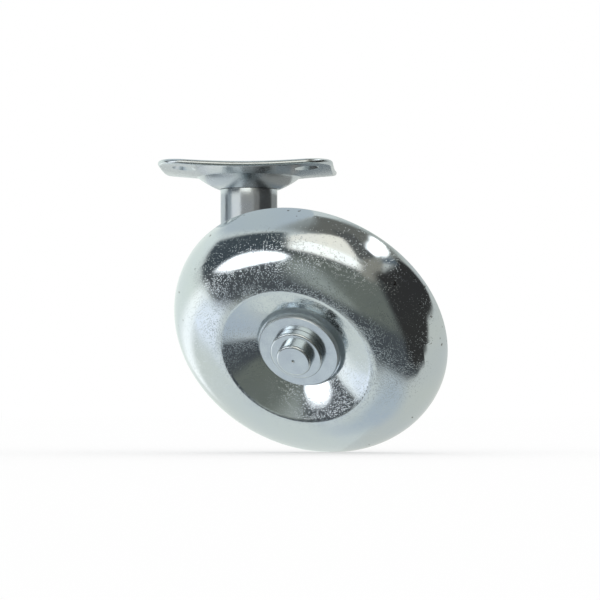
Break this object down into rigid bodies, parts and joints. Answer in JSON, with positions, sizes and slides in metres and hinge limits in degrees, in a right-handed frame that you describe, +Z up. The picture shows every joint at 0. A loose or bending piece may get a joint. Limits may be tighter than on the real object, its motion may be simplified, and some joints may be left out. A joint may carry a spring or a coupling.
{
  "type": "plate castor",
  "caption": "Swivelling plate castor with a dished pressed-steel wheel on a tilted axle, under a square plate with a pressed bowl and countersunk screw holes.",
  "frame": {"origin": "centre of the four screw holes, level with the plate's top at the holes; the plate is dished, so its corners stand 0.85 mm higher", "axes": "+Z up, out of the plate's top and along the swivel axis; +X and +Y along the plate's sides"},
  "size_m": [0.0772, 0.0734, 0.078],
  "materials": {
    "plated_plate": "bright zinc plate on pressed sheet steel",
    "plated_tube": "bright zinc plate on drawn steel tube",
    "plated_wheel": "bright zinc plate on pressed sheet steel, with a fine grain",
    "plated_turned": "bright zinc plate on turned steel",
    "bush_bronze": "plain sintered bronze",
    "spring_steel": "dark spring steel"
  },
  "bodies": {
    "plate": {"mounting_plate": "plated_plate", "kingpin": "plated_turned", "retaining_ring": "spring_steel", "retaining_washer": "plated_turned"},
    "swivel": {"upper_bush": "plated_turned", "lower_bush": "bush_bronze", "stem_tube": "plated_tube", "wheel_hood": "plated_plate", "wheel_axle": "plated_turned", "axle_collar": "plated_turned", "axle_spacer": "plated_turned", "axle_washer": "plated_turned"},
    "wheel": {"wheel_shell": "plated_wheel", "hub": "plated_turned", "hub_bush": "bush_bronze", "hub_backing": "plated_turned"}
  },
  "joints": [
    {"name": "stem_swivel", "type": "hinge", "parent": "plate", "child": "swivel", "pos_m": [0, 0, 0], "axis": [0, 0, 1], "continuous": true},
    {"name": "wheel_spin", "type": "hinge", "parent": "swivel", "child": "wheel", "pos_m": [0.01764, -0.02211, -0.04463], "axis": [-0.2677, -0.7731, -0.575], "continuous": true}
  ]
}
